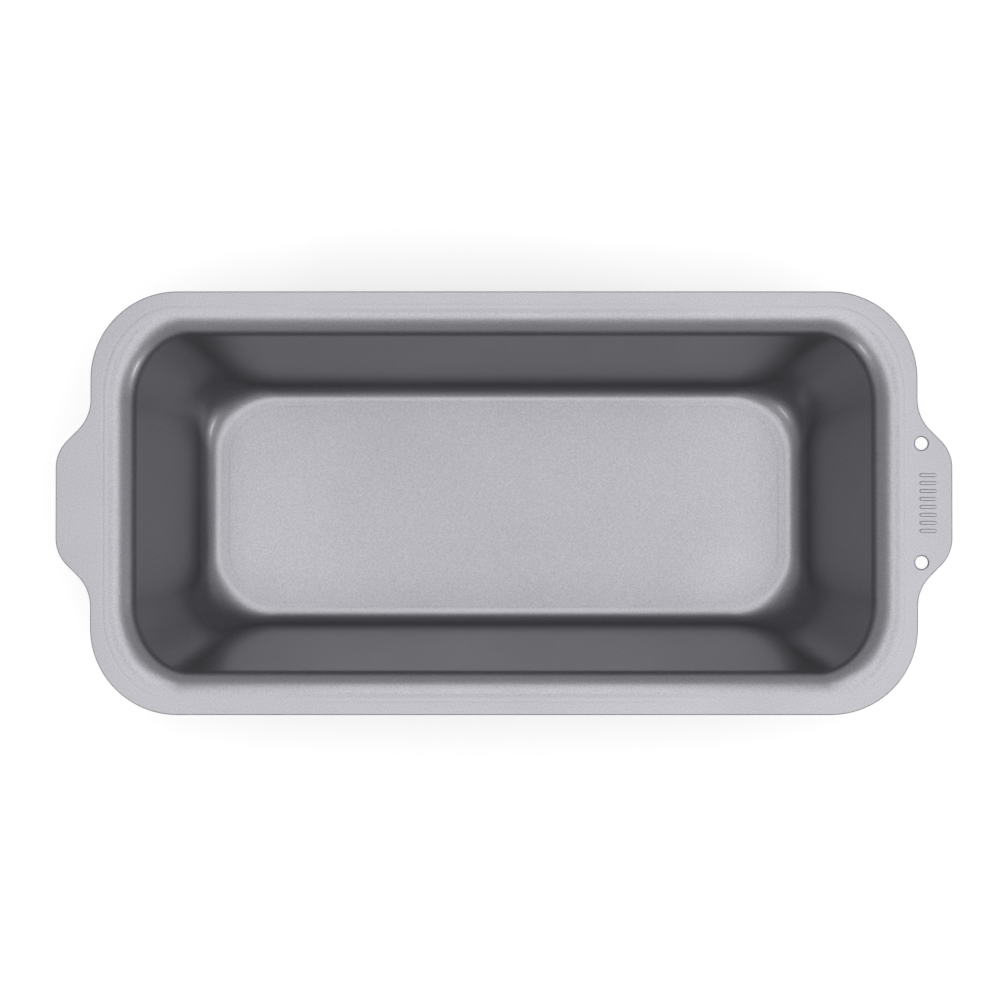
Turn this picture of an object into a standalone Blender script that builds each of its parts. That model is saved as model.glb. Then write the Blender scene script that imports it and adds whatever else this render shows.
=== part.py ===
"""Loaf pan for a 25 cm loaf: one blank of coated sheet steel, deep drawn, trimmed and punched.

The pan is a single piece. Its tub has drafted walls, a rolled mouth and a rounded foot, and its flat flange
widens into a grip tab at each end. The tab at +X has two punched hanging holes.

Frame: +X along the pan towards the punched tab, +Z up, origin at the centre of the underside of the floor.
"""

import bmesh
import bpy
from math import acos, asin, atan2, cos, hypot, pi, radians, sin, sqrt, tan

# Driving dimensions, in metres and radians.
PAN_HEIGHT = 0.070  # underside of the floor to the top of the flange
SHEET = 0.0006  # steel with its coating on both faces
RIM_LENGTH = 0.2604  # trimmed outline without the tabs
RIM_WIDTH = 0.1333
RIM_CORNER = 0.0274

# Section through a long side and through a short side, which is a little softer: the flat flange from
# the trimmed edge to the mouth, the reach and the drop of the elliptical roll that turns it down, the
# draft of the wall and the radius inside the foot.
LONG_SIDE = (0.0054, 0.0083, 0.0066, radians(10.55), 0.0058)
SHORT_SIDE = (0.0047, 0.0089, 0.0073, radians(9.9), 0.0080)

# Corners seen from above, on the inner surface.
MOUTH_CORNER = 0.0252  # radius where the flange starts to turn down
WALL_TOP_CORNER = 0.0192
FLOOR_CORNER = 0.0209
CORNER_STRETCH = 0.12  # share by which a mouth corner is longer along the short side than a round one
CORNER_FOOT_REACH = 0.0158  # on a corner's diagonal the foot is a quarter of an ellipse, this wide
CORNER_FOOT_RISE = 0.026  # and this high

TAB_REACH = 0.0109  # how far a tab stands out past the trimmed outline
TAB_TIP_HALF = 0.0111  # half the straight edge at a tab's tip
TAB_TIP_RADIUS = 0.012
TAB_ROOT_RADIUS = 0.0135
TAB_FLANK = radians(45)  # slope of a tab's side where its two arcs meet it

HOLE_RADIUS = 0.002
HOLE_SPACING = 0.0375
HOLE_PAST_RIM = 0.00125  # from the straight part of the end outline out to the hole centres

# Facets of the solid.
CORNER_STEPS = 10
ROLL_STEPS = 6
FOOT_STEPS = 6
CORNER_FOOT_STEPS = 4
TAB_ARC_STEPS = 5
LONG_SIDE_STEPS = 4
HOLE_SIDES = 32

COATING_COLOUR = (0.50, 0.50, 0.52, 1.0)
COATING_METALLIC = 0.9
COATING_ROUGHNESS = 0.38
SHARP_ANGLE = radians(35)


def clear_scene():
    for obj in list(bpy.data.objects):
        bpy.data.objects.remove(obj, do_unlink=True)


def coated_steel():
    """Satin grey non-stick coating over steel."""
    material = bpy.data.materials.new("nonstick_coating")
    material.use_nodes = True
    shader = material.node_tree.nodes["Principled BSDF"]
    shader.inputs["Base Color"].default_value = COATING_COLOUR
    shader.inputs["Metallic"].default_value = COATING_METALLIC
    shader.inputs["Roughness"].default_value = COATING_ROUGHNESS
    return material


def tab_outline():
    """(y, reach) from a tab's centre line out to its root: straight tip, outer arc, flank, root arc."""
    flank_reach = TAB_REACH - (TAB_TIP_RADIUS + TAB_ROOT_RADIUS) * (1 - cos(TAB_FLANK))
    arcs_width = (TAB_TIP_RADIUS + TAB_ROOT_RADIUS) * sin(TAB_FLANK)
    root_y = TAB_TIP_HALF + arcs_width + flank_reach / tan(TAB_FLANK)
    angles = [TAB_FLANK * step / TAB_ARC_STEPS for step in range(TAB_ARC_STEPS + 1)]
    tip = [
        (TAB_TIP_HALF + TAB_TIP_RADIUS * sin(angle), TAB_REACH - TAB_TIP_RADIUS * (1 - cos(angle)))
        for angle in angles
    ]
    root = [
        (root_y - TAB_ROOT_RADIUS * sin(angle), TAB_ROOT_RADIUS * (1 - cos(angle)))
        for angle in reversed(angles)
    ]
    return [(0.0, TAB_REACH)] + tip + root


def end_stations():
    """(share, reach) across a short side: the share of its straight half, and the tab's reach there."""
    straight_half = RIM_WIDTH / 2 - RIM_CORNER
    half = [(y / straight_half, reach) for y, reach in tab_outline()]
    return [(-share, reach) for share, reach in reversed(half[1:])] + half


def arc(centre, reach_x, reach_y, start):
    """A quarter turn of a plan corner, anticlockwise from the start angle."""
    angles = [start + pi / 2 * step / CORNER_STEPS for step in range(CORNER_STEPS + 1)]
    return [(centre[0] + reach_x * cos(angle), centre[1] + reach_y * sin(angle)) for angle in angles]


def ring_points(level, reach_share):
    """One level of the tub, anticlockwise from above, with the same number of points at every level."""
    side_inset, end_inset, height, corner, stretch = level
    half_length = RIM_LENGTH / 2 - end_inset
    half_width = RIM_WIDTH / 2 - side_inset
    corner_x = corner * (1 - stretch)
    corner_y = corner * (1 + stretch)
    straight_x = half_length - corner_x
    straight_y = half_width - corner_y
    half = []
    for share, reach in end_stations():
        half.append((half_length + reach * reach_share, share * straight_y))
    half += arc((straight_x, straight_y), corner_x, corner_y, 0)
    for step in range(1, LONG_SIDE_STEPS):
        half.append((straight_x * (1 - 2 * step / LONG_SIDE_STEPS), half_width))
    half += arc((-straight_x, straight_y), corner_x, corner_y, pi / 2)
    return [(x, y, height) for x, y in half] + [(-x, -y, height) for x, y in half]


def roll_end(reach, drop, turn):
    """Where along its ellipse a roll has turned down this far."""
    return atan2(reach * sin(turn), drop * cos(turn))


def wall_inset(side, height, depth):
    """How far inside the trimmed outline a side lies at this height.

    Depth is how far below the tub's inner surface the wanted face of the sheet lies.
    """
    flange, reach, drop, draft, foot = side
    turn = pi / 2 - draft
    outer_reach = reach - depth
    outer_drop = drop - depth
    outer_foot = foot + depth
    fall = max(PAN_HEIGHT - depth - height, 0.0)
    rise = max(height + depth - SHEET, 0.0)
    last_bend = roll_end(outer_reach, outer_drop, turn)
    roll_fall = outer_drop * (1 - cos(last_bend))
    foot_rise = outer_foot * (1 - cos(turn))
    if fall < roll_fall:
        return flange + outer_reach / outer_drop * sqrt(fall * (2 * outer_drop - fall))
    wall_fall = min(fall, PAN_HEIGHT - SHEET - foot_rise) - roll_fall
    inset = flange + outer_reach * sin(last_bend) + wall_fall * tan(draft)
    if rise < foot_rise:
        inset += outer_foot * sin(turn) - sqrt(rise * (2 * outer_foot - rise))
    return inset


def mean_inset(height, depth):
    """Halfway between the insets of a long and a short side, which is what places a corner's diagonal."""
    return (wall_inset(LONG_SIDE, height, depth) + wall_inset(SHORT_SIDE, height, depth)) / 2


def corner_reach(inset, corner):
    """How far out a level's corner lies on the plan diagonal, from the centre of the rim's own corner."""
    return sqrt(2) * (RIM_CORNER - inset - corner) + corner


def corner_radius(inset, reach):
    """The corner radius that gives a level this reach."""
    return (sqrt(2) * (RIM_CORNER - inset) - reach) / (sqrt(2) - 1)


def mouth_levels():
    """(height, corner) over the rolled mouth, down to the top of the wall."""
    _, reach, drop, draft, _ = SHORT_SIDE
    last_bend = roll_end(reach, drop, pi / 2 - draft)
    levels = []
    for step in range(ROLL_STEPS + 1):
        bend = last_bend * step / ROLL_STEPS
        corner = MOUTH_CORNER + (WALL_TOP_CORNER - MOUTH_CORNER) * sin(bend) / sin(last_bend)
        levels.append((PAN_HEIGHT - drop * (1 - cos(bend)), corner))
    return levels


def foot_heights(wall_top, across):
    """Heights from the place where the corners' foot starts down to the floor.

    Across is how far the wall and foot of a corner run along its diagonal.
    """
    _, _, _, draft, foot = SHORT_SIDE
    turn = pi / 2 - draft
    above = (wall_top - SHEET - CORNER_FOOT_RISE) * CORNER_FOOT_REACH / CORNER_FOOT_RISE
    first_bend = asin(CORNER_FOOT_REACH / hypot(across, above)) + atan2(above, across)
    last_bend = acos(1 - foot * (1 - cos(turn)) / CORNER_FOOT_RISE)
    bends = [
        first_bend + (last_bend - first_bend) * step / CORNER_FOOT_STEPS for step in range(CORNER_FOOT_STEPS)
    ]
    tilts = [turn * (1 - step / FOOT_STEPS) for step in range(FOOT_STEPS + 1)]
    heights = [SHEET + CORNER_FOOT_RISE * (1 - cos(bend)) for bend in bends]
    return heights + [SHEET + foot * (1 - cos(tilt)) for tilt in tilts]


def foot_levels(wall_top, wall_top_corner):
    """(height, corner) of the foot. The radius puts a corner's diagonal on its foot's ellipse."""
    floor_reach = corner_reach(mean_inset(SHEET, 0.0), FLOOR_CORNER)
    across = corner_reach(mean_inset(wall_top, 0.0), wall_top_corner) - floor_reach
    levels = []
    for height in foot_heights(wall_top, across):
        bend = acos(1 - (height - SHEET) / CORNER_FOOT_RISE)
        reach = floor_reach + CORNER_FOOT_REACH * sin(bend)
        levels.append((height, corner_radius(mean_inset(height, 0.0), reach)))
    return levels


def face_levels(depth):
    """The levels of one face of the sheet: (side inset, end inset, height, corner, corner stretch)."""
    mouth = mouth_levels()
    levels = [(0.0, 0.0, PAN_HEIGHT - depth, RIM_CORNER, 0.0)]
    for height, corner in mouth + foot_levels(*mouth[-1]):
        side_inset = wall_inset(LONG_SIDE, height - depth, depth)
        end_inset = wall_inset(SHORT_SIDE, height - depth, depth)
        outward = mean_inset(height, 0.0) - (side_inset + end_inset) / 2
        stretch = CORNER_STRETCH * (height - SHEET) / (PAN_HEIGHT - SHEET)
        levels.append((side_inset, end_inset, height - depth, corner + outward, stretch))
    return levels


def sheet_face(mesh, depth):
    """Rings of vertices for the face of the sheet that lies this far below the tub's inner surface."""
    rings = []
    for index, level in enumerate(face_levels(depth)):
        rings.append([mesh.verts.new(point) for point in ring_points(level, index == 0)])
    return rings


def join_rings(mesh, upper, lower):
    """A band of four-sided faces between two rings."""
    count = len(upper)
    for index in range(count):
        after = (index + 1) % count
        mesh.faces.new((upper[index], upper[after], lower[after], lower[index]))


def pressed_tub():
    """The closed sheet: inner face, outer face and the trimmed edge between them."""
    mesh = bmesh.new()
    inner = sheet_face(mesh, 0.0)
    outer = sheet_face(mesh, SHEET)
    for rings in (inner, outer):
        for upper, lower in zip(rings, rings[1:]):
            join_rings(mesh, upper, lower)
        mesh.faces.new(rings[-1])
    join_rings(mesh, inner[0], outer[0])
    bmesh.ops.recalc_face_normals(mesh, faces=mesh.faces)
    data = bpy.data.meshes.new("pan_body")
    mesh.to_mesh(data)
    mesh.free()
    pan = bpy.data.objects.new("pan_body", data)
    bpy.context.scene.collection.objects.link(pan)
    return pan


def punch_holes(pan):
    """Two round holes through the +X tab, by which the pan hangs."""
    for side in (-1, 1):
        bpy.ops.mesh.primitive_cylinder_add(
            vertices=HOLE_SIDES,
            radius=HOLE_RADIUS,
            depth=SHEET * 10,
            location=(RIM_LENGTH / 2 + HOLE_PAST_RIM, side * HOLE_SPACING / 2, PAN_HEIGHT),
        )
        punch = bpy.context.object
        punch.name = "punch"
        punch.hide_render = True
        punch.display_type = "WIRE"
        hole = pan.modifiers.new("hanging_hole", "BOOLEAN")
        hole.operation = "DIFFERENCE"
        hole.solver = "EXACT"
        hole.object = punch


def main():
    clear_scene()
    pan = pressed_tub()
    pan.data.materials.append(coated_steel())
    punch_holes(pan)
    pan.data.shade_smooth()
    pan.data.set_sharp_from_angle(angle=SHARP_ANGLE)


main()
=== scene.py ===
from math import acos, asin, atan2, cos, hypot, pi, radians, sin, sqrt, tan

import bmesh
import bpy
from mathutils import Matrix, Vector


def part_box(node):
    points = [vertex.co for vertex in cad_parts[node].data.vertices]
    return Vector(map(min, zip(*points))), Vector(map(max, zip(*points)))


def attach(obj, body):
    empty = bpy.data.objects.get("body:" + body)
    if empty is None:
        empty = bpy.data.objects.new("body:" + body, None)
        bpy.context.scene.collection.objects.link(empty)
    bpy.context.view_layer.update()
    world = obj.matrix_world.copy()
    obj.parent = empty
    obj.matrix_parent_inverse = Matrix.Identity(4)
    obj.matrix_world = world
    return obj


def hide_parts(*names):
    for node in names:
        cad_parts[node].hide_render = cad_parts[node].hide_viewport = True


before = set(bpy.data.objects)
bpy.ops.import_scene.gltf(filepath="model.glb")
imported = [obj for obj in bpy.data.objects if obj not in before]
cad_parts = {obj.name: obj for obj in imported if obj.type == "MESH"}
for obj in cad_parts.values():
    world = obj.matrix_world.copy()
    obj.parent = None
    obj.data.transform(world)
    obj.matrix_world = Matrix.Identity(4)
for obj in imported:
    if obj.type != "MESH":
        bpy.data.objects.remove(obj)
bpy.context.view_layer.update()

MM = 0.001
NODE = "pan_body"
pan_low, pan_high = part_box(NODE)

# Sizes of the pan. Overall sizes come from the frame.
TAB_REACH = 10.9 * MM
RIM_LENGTH = pan_high.x - pan_low.x - 2 * TAB_REACH
RIM_WIDTH = pan_high.y - pan_low.y
PAN_TOP = pan_high.z
SHEET = 0.6 * MM
RIM_CORNER = 27.4 * MM
# Flange width, reach and drop of the rolled mouth, draft and foot radius of a long and of a short side.
LONG_SIDE = (5.4 * MM, 8.3 * MM, 6.6 * MM, radians(10.55), 5.8 * MM)
SHORT_SIDE = (4.7 * MM, 8.9 * MM, 7.3 * MM, radians(9.9), 8.0 * MM)
MOUTH_CORNER = 25.2 * MM
WALL_TOP_CORNER = 19.2 * MM
FLOOR_CORNER = 20.9 * MM
CORNER_STRETCH = 0.12
CORNER_FOOT_REACH = 15.8 * MM
CORNER_FOOT_RISE = 26.0 * MM
TAB_TIP_HALF = 11.1 * MM
TAB_TIP_RADIUS = 12.0 * MM
TAB_ROOT_RADIUS = 13.5 * MM
TAB_FLANK = radians(45)
HOLE_RADIUS = 2.0 * MM
HOLE_SPACING = 37.5 * MM
HOLE_PAST_RIM = 1.25 * MM
EDGE_ROUND = 0.28 * MM  # rounding of the sheared edges
HOLE_EDGE_ROUND = 0.52 * MM  # the punch rolls the holes' upper edges further in

# Witness lines left by the press tools: half width and depth. The first runs round the flange, at this
# share of its width; the second round the floor, this far in from the foot.
WITNESS_HALF = 0.7 * MM
RIM_LINE_SHARE = 0.82
RIM_LINE_DEPTH = 0.035 * MM
FLOOR_LINE_PLACE = 1.3 * MM
FLOOR_LINE_DEPTH = 0.05 * MM

# Grip ribs pressed into the holed tab.
RIB_COUNT = 8
RIB_LENGTH = 5.4 * MM
RIB_WIDTH = 1.2 * MM
RIB_PITCH = 2.5 * MM
RIB_RISE = 0.45 * MM
RIB_SLOPE = 0.22 * MM  # how far each side of a rib leans in
RIB_WALL = 0.4 * MM  # by how much the dent under a rib is narrower
RIB_PAST_RIM = 3.2 * MM
RIB_ROOT = SHEET / 4  # how deep a rib is sunk into the sheet it is joined to
# A rib from its top down: by how many slopes it is narrower, both sides together, and what share of its
# rise lies above.
RIB_SIDE = ((2.0, 0.0), (1.4, 0.12), (0.6, 0.88), (0.0, 1.0))

CORNER_STEPS = 24
ROLL_STEPS = 16
FOOT_STEPS = 20
CORNER_FOOT_STEPS = 10
TAB_ARC_STEPS = 12
LONG_SIDE_STEPS = 8
EDGE_STEPS = 4
WITNESS_SHARES = (-1.0, -0.5, 0.0, 0.5, 1.0)
HOLE_SIDES = 64
RIB_END_STEPS = 8
SHARP_ANGLE = radians(50)

# Places in a mesh's list of materials.
COATED = 0
# The sheared edge and the holes' walls. Their darkened steel paints a thin line of shade.
SHEARED = 1

# Non-stick coating: its darkest and lightest flake, and the grain of flake, orange peel and slow clouding.
FLAKE_DARK = (0.175, 0.172, 0.186, 1.0)
FLAKE_LIGHT = (0.242, 0.2385, 0.2575, 1.0)
FLAKE_GRAIN = 2600.0
PEEL_GRAIN = 900.0
PEEL_STRENGTH = 0.16
PEEL_DEPTH = 0.2 * MM
CLOUD_GRAIN = 22.0
COATING_METALLIC = 0.92
COATING_ROUGHNESS = (0.38, 0.42)
COAT_WEIGHT = 0.35
COAT_ROUGHNESS = 0.14

# Bare steel where the coated sheet was cut. Its colour is kept much darker than bare steel, so the sheared
# edges and the holes' rims draw a thin line of painted shade.
STEEL_AND_SHADE_DARK = (0.07, 0.07, 0.073, 1.0)
STEEL_AND_SHADE_LIGHT = (0.15, 0.15, 0.154, 1.0)
STEEL_GRAIN = 1800.0
STEEL_ROUGHNESS = (0.4, 0.55)

NOISE_RANGE = (0.3, 0.7)  # where nearly all of a noise's values lie

FLOOR_RADIUS = 1.4  # it ends where the softbox no longer keeps it pale
FLOOR_SIDES = 96
FLOOR_GAP = 0.1 * MM  # keeps the floor clear of the witness line under the pan
FLOOR_COLOUR = (0.50, 0.50, 0.50, 1.0)
FLOOR_ROUGHNESS = 0.9
FLOOR_SPECULAR = 0.2
FLOOR_GLOW = 0.41
WHITE = (1.0, 1.0, 1.0, 1.0)

# The overhead softbox in level panels (low x, high x, low y, high y), open in the middle for the
# camera.
SOFTBOX_PANELS = {
    "overhead_left": (-0.75, -0.23, -0.80, 0.40),
    "overhead_right": (0.23, 0.95, -0.80, 0.40),
    "overhead_near": (-0.23, 0.23, -0.80, -0.16),
    "overhead_middle": (-0.23, 0.23, 0.16, 0.40),
    "overhead_far": (-0.40, 0.40, 0.40, 1.40),
}
SOFTBOX_HEIGHT = 1.6
SOFTBOX_RADIANCE = 3.15
# Two small low lamps that catch the mouth's roll in the corners: place and radiance.
LEFT_LAMP = ((-0.85, -0.85, 0.76), 21.0)
RIGHT_LAMP = ((1.10, -0.50, 0.50), 26.0)
LAMP_SIZE = (0.30, 0.10)
# Radiance of the room by how high one looks, from the horizon (0) to straight up (1): a pale backdrop
# round the table, dimmer above.
ROOM_RADIANCE = ((0.0, 1.15), (0.25, 0.8), (0.5, 0.6), (0.9, 0.6))

# Camera, almost straight above the pan's middle.
CAMERA_ABOVE_RIM = 545 * MM
CAMERA_X = -1.26 * MM
CAMERA_Y = -3.8 * MM
VIEW_CENTRE_Y = 0.94 * MM  # where the line of sight meets the rim's plane
VIEW_WIDTH_AT_RIM = 314.6 * MM
SENSOR_WIDTH = 36.0


def tab_outline():
    """(y, reach) from a tab's centre line out to its root."""
    flank_reach = TAB_REACH - (TAB_TIP_RADIUS + TAB_ROOT_RADIUS) * (1 - cos(TAB_FLANK))
    arcs_width = (TAB_TIP_RADIUS + TAB_ROOT_RADIUS) * sin(TAB_FLANK)
    root_y = TAB_TIP_HALF + arcs_width + flank_reach / tan(TAB_FLANK)
    angles = [TAB_FLANK * step / TAB_ARC_STEPS for step in range(TAB_ARC_STEPS + 1)]
    tip = [
        (TAB_TIP_HALF + TAB_TIP_RADIUS * sin(angle), TAB_REACH - TAB_TIP_RADIUS * (1 - cos(angle)))
        for angle in angles
    ]
    root = [
        (root_y - TAB_ROOT_RADIUS * sin(angle), TAB_ROOT_RADIUS * (1 - cos(angle)))
        for angle in reversed(angles)
    ]
    return [(0.0, TAB_REACH)] + tip + root


def end_stations():
    """(share, reach) across a short side: the share of its straight half, and the tab's reach there."""
    straight_half = RIM_WIDTH / 2 - RIM_CORNER
    half = [(y / straight_half, reach) for y, reach in tab_outline()]
    return [(-share, reach) for share, reach in reversed(half[1:])] + half


STATIONS = end_stations()


def arc(centre, reach_x, reach_y, start):
    """A quarter turn of a plan corner, anticlockwise from the start angle."""
    angles = [start + pi / 2 * step / CORNER_STEPS for step in range(CORNER_STEPS + 1)]
    return [(centre[0] + reach_x * cos(angle), centre[1] + reach_y * sin(angle)) for angle in angles]


def plan(level, with_tabs):
    """One level's outline, anticlockwise from above."""
    side_inset, end_inset, _, corner, stretch = level
    half_length = RIM_LENGTH / 2 - end_inset
    half_width = RIM_WIDTH / 2 - side_inset
    corner_x = corner * (1 - stretch)
    corner_y = corner * (1 + stretch)
    straight_x = half_length - corner_x
    straight_y = half_width - corner_y
    half = [(half_length + reach * with_tabs, share * straight_y) for share, reach in STATIONS]
    half += arc((straight_x, straight_y), corner_x, corner_y, 0)
    for step in range(1, LONG_SIDE_STEPS):
        half.append((straight_x * (1 - 2 * step / LONG_SIDE_STEPS), half_width))
    half += arc((-straight_x, straight_y), corner_x, corner_y, pi / 2)
    return half + [(-x, -y) for x, y in half]


def trimmed_outline(inset):
    """The trimmed outline with its tabs, moved inwards square to itself."""
    points = [Vector(point) for point in plan((0.0, 0.0, PAN_TOP, RIM_CORNER, 0.0), True)]
    moved = []
    for index, point in enumerate(points):
        along = points[(index + 1) % len(points)] - points[index - 1]
        inward = Vector((-along.y, along.x)).normalized()
        moved.append(tuple(point + inward * inset))
    return moved


def edge_rows():
    """The half-round of the sheared edge, from the flange's top face to its underside: (inset, height)."""
    rows = []
    for step in range(EDGE_STEPS + 1):
        turn = pi / 2 * step / EDGE_STEPS
        rows.append((EDGE_ROUND * (1 - sin(turn)), PAN_TOP - EDGE_ROUND * (1 - cos(turn))))
    for step in range(EDGE_STEPS + 1):
        turn = pi / 2 * step / EDGE_STEPS
        rows.append((EDGE_ROUND * (1 - cos(turn)), PAN_TOP - SHEET + EDGE_ROUND * (1 - sin(turn))))
    return rows


def roll_end(reach, drop, turn):
    """Where along its ellipse a roll has turned down this far."""
    return atan2(reach * sin(turn), drop * cos(turn))


def wall_inset(side, height, depth):
    """How far inside the trimmed outline a side lies at this height, this deep below the inner surface."""
    flange, reach, drop, draft, foot = side
    turn = pi / 2 - draft
    outer_reach = reach - depth
    outer_drop = drop - depth
    outer_foot = foot + depth
    fall = max(PAN_TOP - depth - height, 0.0)
    rise = max(height + depth - SHEET, 0.0)
    last_bend = roll_end(outer_reach, outer_drop, turn)
    roll_fall = outer_drop * (1 - cos(last_bend))
    foot_rise = outer_foot * (1 - cos(turn))
    if fall < roll_fall:
        return flange + outer_reach / outer_drop * sqrt(fall * (2 * outer_drop - fall))
    wall_fall = min(fall, PAN_TOP - SHEET - foot_rise) - roll_fall
    inset = flange + outer_reach * sin(last_bend) + wall_fall * tan(draft)
    if rise < foot_rise:
        inset += outer_foot * sin(turn) - sqrt(rise * (2 * outer_foot - rise))
    return inset


def mean_inset(height, depth):
    """Halfway between the insets of a long and a short side, which is what places a corner's diagonal."""
    return (wall_inset(LONG_SIDE, height, depth) + wall_inset(SHORT_SIDE, height, depth)) / 2


def corner_reach(inset, corner):
    """How far out a level's corner lies on the plan diagonal, from the centre of the rim's own corner."""
    return sqrt(2) * (RIM_CORNER - inset - corner) + corner


def corner_radius(inset, reach):
    """The corner radius that gives a level this reach."""
    return (sqrt(2) * (RIM_CORNER - inset) - reach) / (sqrt(2) - 1)


def mouth_levels():
    """(height, corner) over the rolled mouth, down to the top of the wall."""
    _, reach, drop, draft, _ = SHORT_SIDE
    last_bend = roll_end(reach, drop, pi / 2 - draft)
    levels = []
    for step in range(ROLL_STEPS + 1):
        bend = last_bend * step / ROLL_STEPS
        corner = MOUTH_CORNER + (WALL_TOP_CORNER - MOUTH_CORNER) * sin(bend) / sin(last_bend)
        levels.append((PAN_TOP - drop * (1 - cos(bend)), corner))
    return levels


def foot_heights(wall_top, across):
    """Heights from the start of the corners' foot down to the floor."""
    _, _, _, draft, foot = SHORT_SIDE
    turn = pi / 2 - draft
    above = (wall_top - SHEET - CORNER_FOOT_RISE) * CORNER_FOOT_REACH / CORNER_FOOT_RISE
    first_bend = asin(CORNER_FOOT_REACH / hypot(across, above)) + atan2(above, across)
    last_bend = acos(1 - foot * (1 - cos(turn)) / CORNER_FOOT_RISE)
    bends = [
        first_bend + (last_bend - first_bend) * step / CORNER_FOOT_STEPS for step in range(CORNER_FOOT_STEPS)
    ]
    tilts = [turn * (1 - step / FOOT_STEPS) for step in range(FOOT_STEPS + 1)]
    heights = [SHEET + CORNER_FOOT_RISE * (1 - cos(bend)) for bend in bends]
    return heights + [SHEET + foot * (1 - cos(tilt)) for tilt in tilts]


def foot_levels(wall_top, wall_top_corner):
    """(height, corner) of the foot, whose diagonals in the corners follow a larger ellipse."""
    floor_reach = corner_reach(mean_inset(SHEET, 0.0), FLOOR_CORNER)
    across = corner_reach(mean_inset(wall_top, 0.0), wall_top_corner) - floor_reach
    levels = []
    for height in foot_heights(wall_top, across):
        bend = acos(1 - (height - SHEET) / CORNER_FOOT_RISE)
        reach = floor_reach + CORNER_FOOT_REACH * sin(bend)
        levels.append((height, corner_radius(mean_inset(height, 0.0), reach)))
    return levels


def face_levels(depth):
    """Levels of one face of the sheet: (side inset, end inset, height, corner, corner stretch)."""
    mouth = mouth_levels()
    levels = []
    for height, corner in mouth + foot_levels(*mouth[-1]):
        side_inset = wall_inset(LONG_SIDE, height - depth, depth)
        end_inset = wall_inset(SHORT_SIDE, height - depth, depth)
        outward = mean_inset(height, 0.0) - (side_inset + end_inset) / 2
        stretch = CORNER_STRETCH * (height - SHEET) / (PAN_TOP - SHEET)
        levels.append((side_inset, end_inset, height - depth, corner + outward, stretch))
    return levels


def witness(middle, width, depth):
    """A shallow line round one level: full depth at its middle, fading out on both sides."""
    side_inset, end_inset, height, corner, stretch = middle
    levels = []
    for share in WITNESS_SHARES:
        shift = share * width
        drop = depth * (1 + cos(pi * share)) / 2
        levels.append((side_inset + shift, end_inset + shift, height - drop, corner - shift, stretch))
    return levels


def section(depth):
    """All levels of one face inside the trimmed edge, with the witness lines."""
    levels = face_levels(depth)
    side_inset, end_inset, height, corner, stretch = levels[0]
    share = RIM_LINE_SHARE
    line_corner = RIM_CORNER + (corner - RIM_CORNER) * share
    rim_line = (side_inset * share, end_inset * share, height, line_corner, stretch * share)
    side_inset, end_inset, height, corner, stretch = levels[-1]
    place = FLOOR_LINE_PLACE
    floor_line = (side_inset + place, end_inset + place, height, corner - place, stretch)
    return (
        witness(rim_line, WITNESS_HALF, RIM_LINE_DEPTH)
        + levels
        + witness(floor_line, WITNESS_HALF, FLOOR_LINE_DEPTH)
    )


def join_rings(mesh, upper, lower, material):
    """A band of four-sided faces between two rings."""
    count = len(upper)
    for index in range(count):
        after = (index + 1) % count
        face = mesh.faces.new((upper[index], upper[after], lower[after], lower[index]))
        face.material_index = material


def new_ring(mesh, points, height):
    return [mesh.verts.new((x, y, height)) for x, y in points]


def sheet_face(mesh, depth):
    """Rings for the face of the sheet that lies this far below the inner surface."""
    return [new_ring(mesh, plan(level, False), level[2]) for level in section(depth)]


def build_shell():
    """The pressed sheet as one closed mesh: coating on both faces, and bare steel darkened into painted
    shade on the sheared edge.
    """
    mesh = bmesh.new()
    edge = [new_ring(mesh, trimmed_outline(inset), height) for inset, height in edge_rows()]
    inner = sheet_face(mesh, 0.0)
    outer = sheet_face(mesh, SHEET)
    for upper, lower in zip(edge, edge[1:]):
        join_rings(mesh, upper, lower, SHEARED)
    join_rings(mesh, edge[0], inner[0], COATED)
    join_rings(mesh, edge[-1], outer[0], COATED)
    for rings in (inner, outer):
        for upper, lower in zip(rings, rings[1:]):
            join_rings(mesh, upper, lower, COATED)
        mesh.faces.new(rings[-1])
    bmesh.ops.recalc_face_normals(mesh, faces=mesh.faces)
    return mesh


def object_from(mesh, name, materials):
    """An object in the scene, made from a bmesh, which is used up."""
    data = bpy.data.meshes.new(name)
    mesh.to_mesh(data)
    mesh.free()
    for material in materials:
        data.materials.append(material)
    obj = bpy.data.objects.new(name, data)
    bpy.context.scene.collection.objects.link(obj)
    return obj


def punch(side, materials):
    """A round punch that flares above, so that the hole's upper edge comes out rounded."""
    rows = [(HOLE_RADIUS + HOLE_EDGE_ROUND, PAN_TOP + SHEET)]
    for step in range(EDGE_STEPS + 1):
        turn = pi / 2 * step / EDGE_STEPS
        flare = HOLE_EDGE_ROUND * (1 - sin(turn))
        rows.append((HOLE_RADIUS + flare, PAN_TOP - HOLE_EDGE_ROUND * (1 - cos(turn))))
    rows.append((HOLE_RADIUS, PAN_TOP - 2 * SHEET))
    mesh = bmesh.new()
    rings = []
    for radius, height in rows:
        points = [
            (
                RIM_LENGTH / 2 + HOLE_PAST_RIM + radius * cos(2 * pi * index / HOLE_SIDES),
                side * HOLE_SPACING / 2 + radius * sin(2 * pi * index / HOLE_SIDES),
            )
            for index in range(HOLE_SIDES)
        ]
        rings.append(new_ring(mesh, points, height))
    for upper, lower in zip(rings[:-1], rings[1:-1]):
        join_rings(mesh, upper, lower, COATED)
    join_rings(mesh, rings[-2], rings[-1], SHEARED)
    mesh.faces.new(rings[0])
    mesh.faces.new(rings[-1])
    bmesh.ops.recalc_face_normals(mesh, faces=mesh.faces)
    return object_from(mesh, "punch", materials)


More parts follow.
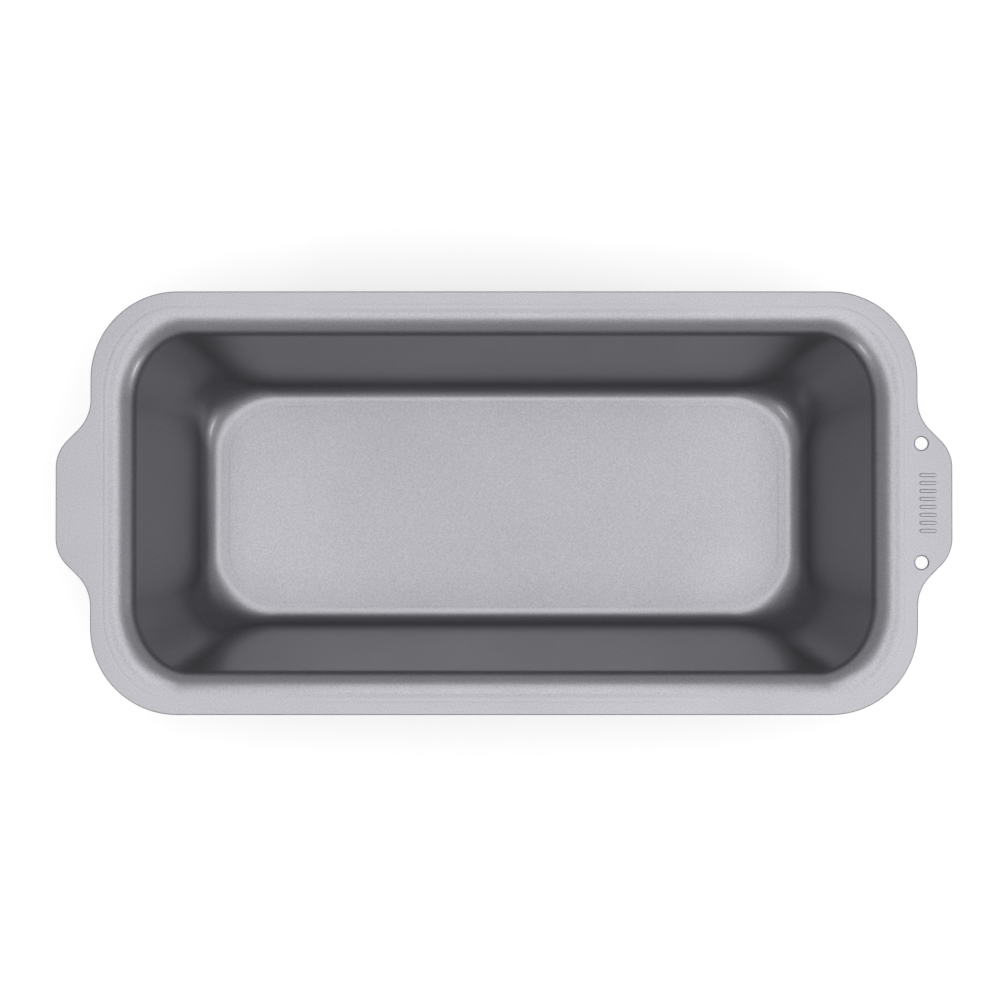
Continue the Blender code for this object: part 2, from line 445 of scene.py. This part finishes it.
def stadium(length, width):
    """A bar outline with round ends, its length along x."""
    radius = width / 2
    reach = length / 2 - radius
    angles = [pi * (step / RIB_END_STEPS - 0.5) for step in range(RIB_END_STEPS + 1)]
    right = [(reach + radius * cos(angle), radius * sin(angle)) for angle in angles]
    return right + [(-x, -y) for x, y in right]


def ribs(grow, top, bottom, materials):
    """The row of grip ribs, grown sideways, as one mesh; each is widest at its lower end."""
    levels = [(grow - RIB_SLOPE * slopes, top - RIB_RISE * share) for slopes, share in RIB_SIDE]
    levels.append((grow, bottom))
    mesh = bmesh.new()
    for index in range(RIB_COUNT):
        offset = (index - (RIB_COUNT - 1) / 2) * RIB_PITCH
        rings = []
        for extra, height in levels:
            points = [
                (RIM_LENGTH / 2 + RIB_PAST_RIM + x, offset + y)
                for x, y in stadium(RIB_LENGTH + extra, RIB_WIDTH + extra)
            ]
            rings.append(new_ring(mesh, points, height))
        for upper, lower in zip(rings, rings[1:]):
            join_rings(mesh, upper, lower, COATED)
        mesh.faces.new(rings[0])
        mesh.faces.new(rings[-1])
    bmesh.ops.recalc_face_normals(mesh, faces=mesh.faces)
    return object_from(mesh, "ribs", materials)


def boolean(obj, tool, operation):
    modifier = obj.modifiers.new(operation, "BOOLEAN")
    modifier.operation = operation
    modifier.solver = "EXACT"
    modifier.object = tool


def build_pan():
    """The shell with its ribs, the dents under them and its hanging holes, as one mesh."""
    materials = (coating(), sheared_steel_and_shade())
    shell = object_from(build_shell(), "pan_shell", materials)
    raised = ribs(0.0, PAN_TOP + RIB_RISE, PAN_TOP - RIB_ROOT, materials)
    pressed = ribs(-RIB_WALL, PAN_TOP + RIB_RISE - SHEET, PAN_TOP - 2 * SHEET, materials)
    cutters = [punch(-1, materials), punch(1, materials), pressed]
    boolean(shell, raised, "UNION")
    for cutter in cutters:
        boolean(shell, cutter, "DIFFERENCE")
    graph = bpy.context.evaluated_depsgraph_get()
    finished = bpy.data.meshes.new_from_object(shell.evaluated_get(graph))
    shell.modifiers.clear()
    shell.data = finished
    for tool in [raised] + cutters:
        bpy.data.objects.remove(tool)
    shell.data.shade_smooth()
    shell.data.set_sharp_from_angle(angle=SHARP_ANGLE)
    weighted = shell.modifiers.new("flat_faces_lead", "WEIGHTED_NORMAL")
    weighted.keep_sharp = True
    return shell


def principled(name):
    """A new material, its node tree and its shader."""
    material = bpy.data.materials.new(name)
    material.use_nodes = True
    return material, material.node_tree, material.node_tree.nodes["Principled BSDF"]


def node(tree, kind, **inputs):
    """A new node with some of its inputs set."""
    made = tree.nodes.new(kind)
    for key, value in inputs.items():
        made.inputs[key.replace("_", " ")].default_value = value
    return made


def remap(tree, source, low, high):
    """A noise value stretched to lie between two levels."""
    made = node(
        tree,
        "ShaderNodeMapRange",
        From_Min=NOISE_RANGE[0],
        From_Max=NOISE_RANGE[1],
        To_Min=low,
        To_Max=high,
    )
    tree.links.new(source.outputs["Fac"], made.inputs["Value"])
    return made.outputs["Result"]


def speckle(tree, shader, grain, dark, light):
    """A base colour that runs from dark to light with the grain."""
    colour = tree.nodes.new("ShaderNodeMix")
    colour.data_type = "RGBA"
    colour.inputs["A"].default_value = dark
    colour.inputs["B"].default_value = light
    tree.links.new(remap(tree, grain, 0.0, 1.0), colour.inputs["Factor"])
    tree.links.new(colour.outputs["Result"], shader.inputs["Base Color"])


def coating():
    """Satin metallic non-stick coating with fine flake and orange peel."""
    material, tree, shader = principled("nonstick_coating")
    place = tree.nodes.new("ShaderNodeTexCoord")
    flake = node(tree, "ShaderNodeTexNoise", Scale=FLAKE_GRAIN, Detail=2.0, Roughness=0.6)
    peel = node(tree, "ShaderNodeTexNoise", Scale=PEEL_GRAIN, Detail=2.0, Roughness=0.5)
    cloud = node(tree, "ShaderNodeTexNoise", Scale=CLOUD_GRAIN, Detail=3.0, Roughness=0.5)
    for texture in (flake, peel, cloud):
        tree.links.new(place.outputs["Object"], texture.inputs["Vector"])
    speckle(tree, shader, flake, FLAKE_DARK, FLAKE_LIGHT)
    shader.inputs["Metallic"].default_value = COATING_METALLIC
    shader.inputs["Coat Weight"].default_value = COAT_WEIGHT
    shader.inputs["Coat Roughness"].default_value = COAT_ROUGHNESS
    tree.links.new(remap(tree, cloud, *COATING_ROUGHNESS), shader.inputs["Roughness"])
    bump = node(tree, "ShaderNodeBump", Strength=PEEL_STRENGTH, Distance=PEEL_DEPTH)
    tree.links.new(peel.outputs["Fac"], bump.inputs["Height"])
    tree.links.new(bump.outputs["Normal"], shader.inputs["Normal"])
    return material


def sheared_steel_and_shade():
    """Bare steel with a fine shear grain, coloured darker than bare steel so that the sheared edges show a
    line of painted shade.
    """
    material, tree, shader = principled("sheared_steel_and_shade")
    place = tree.nodes.new("ShaderNodeTexCoord")
    grain = node(tree, "ShaderNodeTexNoise", Scale=STEEL_GRAIN, Detail=2.0, Roughness=0.6)
    tree.links.new(place.outputs["Object"], grain.inputs["Vector"])
    speckle(tree, shader, grain, STEEL_AND_SHADE_DARK, STEEL_AND_SHADE_LIGHT)
    shader.inputs["Metallic"].default_value = 1.0
    tree.links.new(remap(tree, grain, *STEEL_ROUGHNESS), shader.inputs["Roughness"])
    return material


def build_floor():
    """A round pale floor with a faint glow of its own, which keeps the pan's shadow light."""
    mesh = bmesh.new()
    bmesh.ops.create_circle(mesh, cap_ends=True, segments=FLOOR_SIDES, radius=FLOOR_RADIUS)
    bmesh.ops.translate(mesh, verts=mesh.verts, vec=(0, 0, pan_low.z - FLOOR_GAP))
    material, _, shader = principled("pale_floor")
    shader.inputs["Base Color"].default_value = FLOOR_COLOUR
    shader.inputs["Roughness"].default_value = FLOOR_ROUGHNESS
    shader.inputs["Specular IOR Level"].default_value = FLOOR_SPECULAR
    shader.inputs["Emission Color"].default_value = WHITE
    shader.inputs["Emission Strength"].default_value = FLOOR_GLOW
    return object_from(mesh, "floor", [material])


def area_light(name, size, location, target, radiance):
    """A rectangular softbox. Its power follows from its size and how bright its face looks."""
    data = bpy.data.lights.new(name, "AREA")
    data.shape = "RECTANGLE"
    data.size, data.size_y = size
    data.energy = radiance * pi * size[0] * size[1]
    lamp = bpy.data.objects.new(name, data)
    lamp.location = location
    lamp.rotation_euler = (Vector(target) - Vector(location)).to_track_quat("-Z", "Y").to_euler()
    bpy.context.scene.collection.objects.link(lamp)


def build_camera():
    """The camera looks almost straight down, leaning a little towards the far side."""
    data = bpy.data.cameras.new("camera")
    data.sensor_width = SENSOR_WIDTH
    data.lens = SENSOR_WIDTH * CAMERA_ABOVE_RIM / VIEW_WIDTH_AT_RIM
    camera = bpy.data.objects.new("camera", data)
    camera.location = (CAMERA_X, CAMERA_Y, PAN_TOP + CAMERA_ABOVE_RIM)
    lean = (VIEW_CENTRE_Y - CAMERA_Y) / CAMERA_ABOVE_RIM
    camera.rotation_euler = (lean, 0.0, 0.0)
    bpy.context.scene.collection.objects.link(camera)
    bpy.context.scene.camera = camera


def build_lights():
    """The softbox's panels, each facing straight down, and the two lamps, which face the pan."""
    for name, (low_x, high_x, low_y, high_y) in SOFTBOX_PANELS.items():
        x = (low_x + high_x) / 2
        y = (low_y + high_y) / 2
        size = (high_x - low_x, high_y - low_y)
        area_light(name, size, (x, y, SOFTBOX_HEIGHT), (x, y, 0.0), SOFTBOX_RADIANCE)
    for name, (place, radiance) in (("left_lamp", LEFT_LAMP), ("right_lamp", RIGHT_LAMP)):
        area_light(name, LAMP_SIZE, place, (0.0, 0.0, PAN_TOP), radiance)


def build_world():
    """The room round the table, whose radiance changes only with height."""
    world = bpy.data.worlds.new("studio")
    world.use_nodes = True
    tree = world.node_tree
    background = tree.nodes["Background"]
    strongest = max(radiance for _, radiance in ROOM_RADIANCE)
    background.inputs["Strength"].default_value = strongest
    place = tree.nodes.new("ShaderNodeTexCoord")
    split = tree.nodes.new("ShaderNodeSeparateXYZ")
    ramp = tree.nodes.new("ShaderNodeValToRGB")
    stops = ramp.color_ramp.elements
    while len(stops) < len(ROOM_RADIANCE):
        stops.new(0.5)
    for stop, (height, radiance) in zip(stops, ROOM_RADIANCE):
        grey = radiance / strongest
        stop.position = height
        stop.color = (grey, grey, grey, 1.0)
    tree.links.new(place.outputs["Generated"], split.inputs["Vector"])
    tree.links.new(split.outputs["Z"], ramp.inputs["Fac"])
    tree.links.new(ramp.outputs["Color"], background.inputs["Color"])
    bpy.context.scene.world = world


pan = build_pan()
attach(pan, "root")
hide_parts(NODE)

floor = build_floor()

build_camera()
build_world()
build_lights()
bpy.context.scene.view_settings.view_transform = "Standard"
